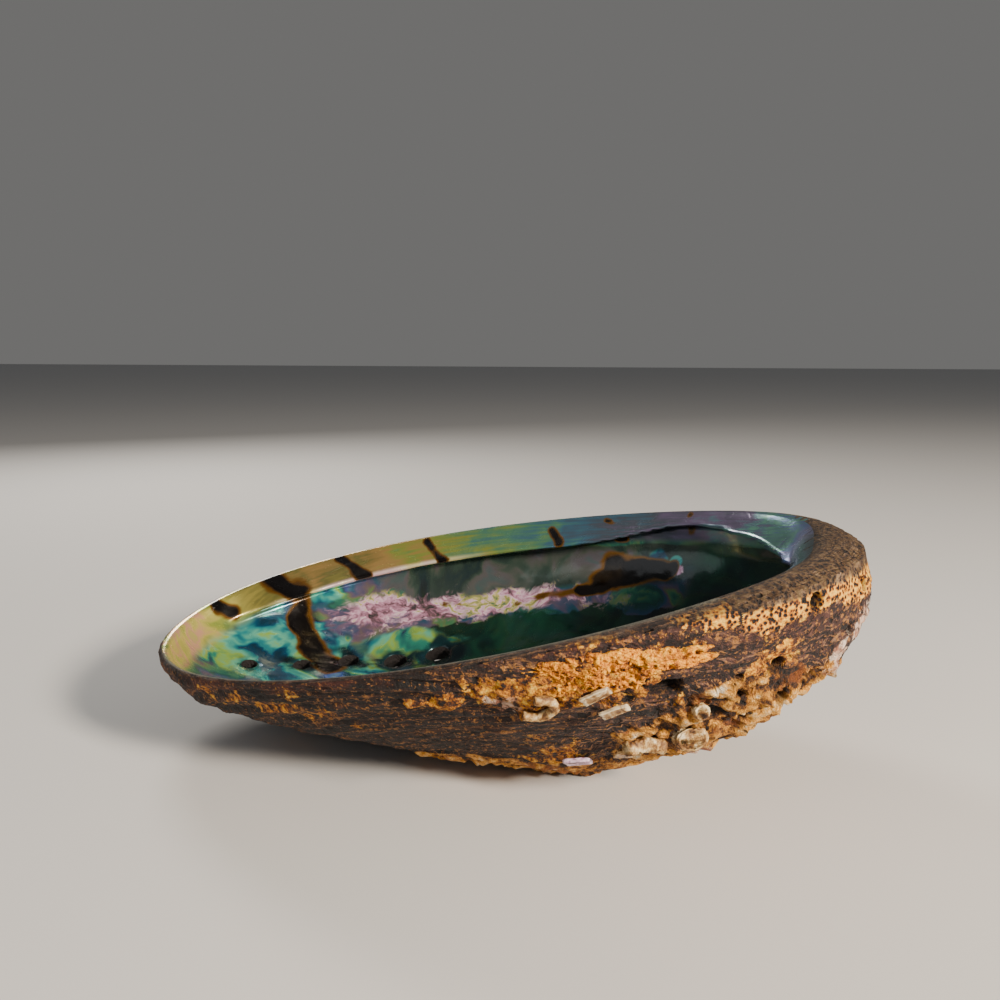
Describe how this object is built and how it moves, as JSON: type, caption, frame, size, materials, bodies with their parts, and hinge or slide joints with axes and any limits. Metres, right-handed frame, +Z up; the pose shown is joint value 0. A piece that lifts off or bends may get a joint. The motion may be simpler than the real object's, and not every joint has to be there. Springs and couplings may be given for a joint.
{
  "type": "abalone shell",
  "caption": "Oval bowl-shaped sea shell lying on its back, with an inner shelf, a row of breathing holes and a crusted outside with small cemented growths.",
  "frame": {"origin": "a point on the worn flat under the shell that it rests on", "axes": "+X towards the spire end, -X towards the thin front lip, +Y towards the inner shelf and the breathing holes, +Z up out of the cavity"},
  "size_m": [0.1626, 0.1141, 0.0519],
  "materials": {
    "shell": "rough layered outside, polished iridescent inside",
    "sponge": "dry granular",
    "worm_tube": "chalky to glossy",
    "chip": "glossy flake",
    "nacre": "pearly"
  },
  "bodies": {
    "root": {"abalone_shell": "shell", "sponge_mat": "sponge", "worm_tube_hooked": "worm_tube", "worm_tube_bent": "worm_tube", "worm_cup_oval": "worm_tube", "worm_cup_small": "worm_tube", "clear_chip_upper": "chip", "clear_chip_lower": "chip", "nacre_chip": "nacre", "amber_chip": "chip"}
  },
  "joints": []
}
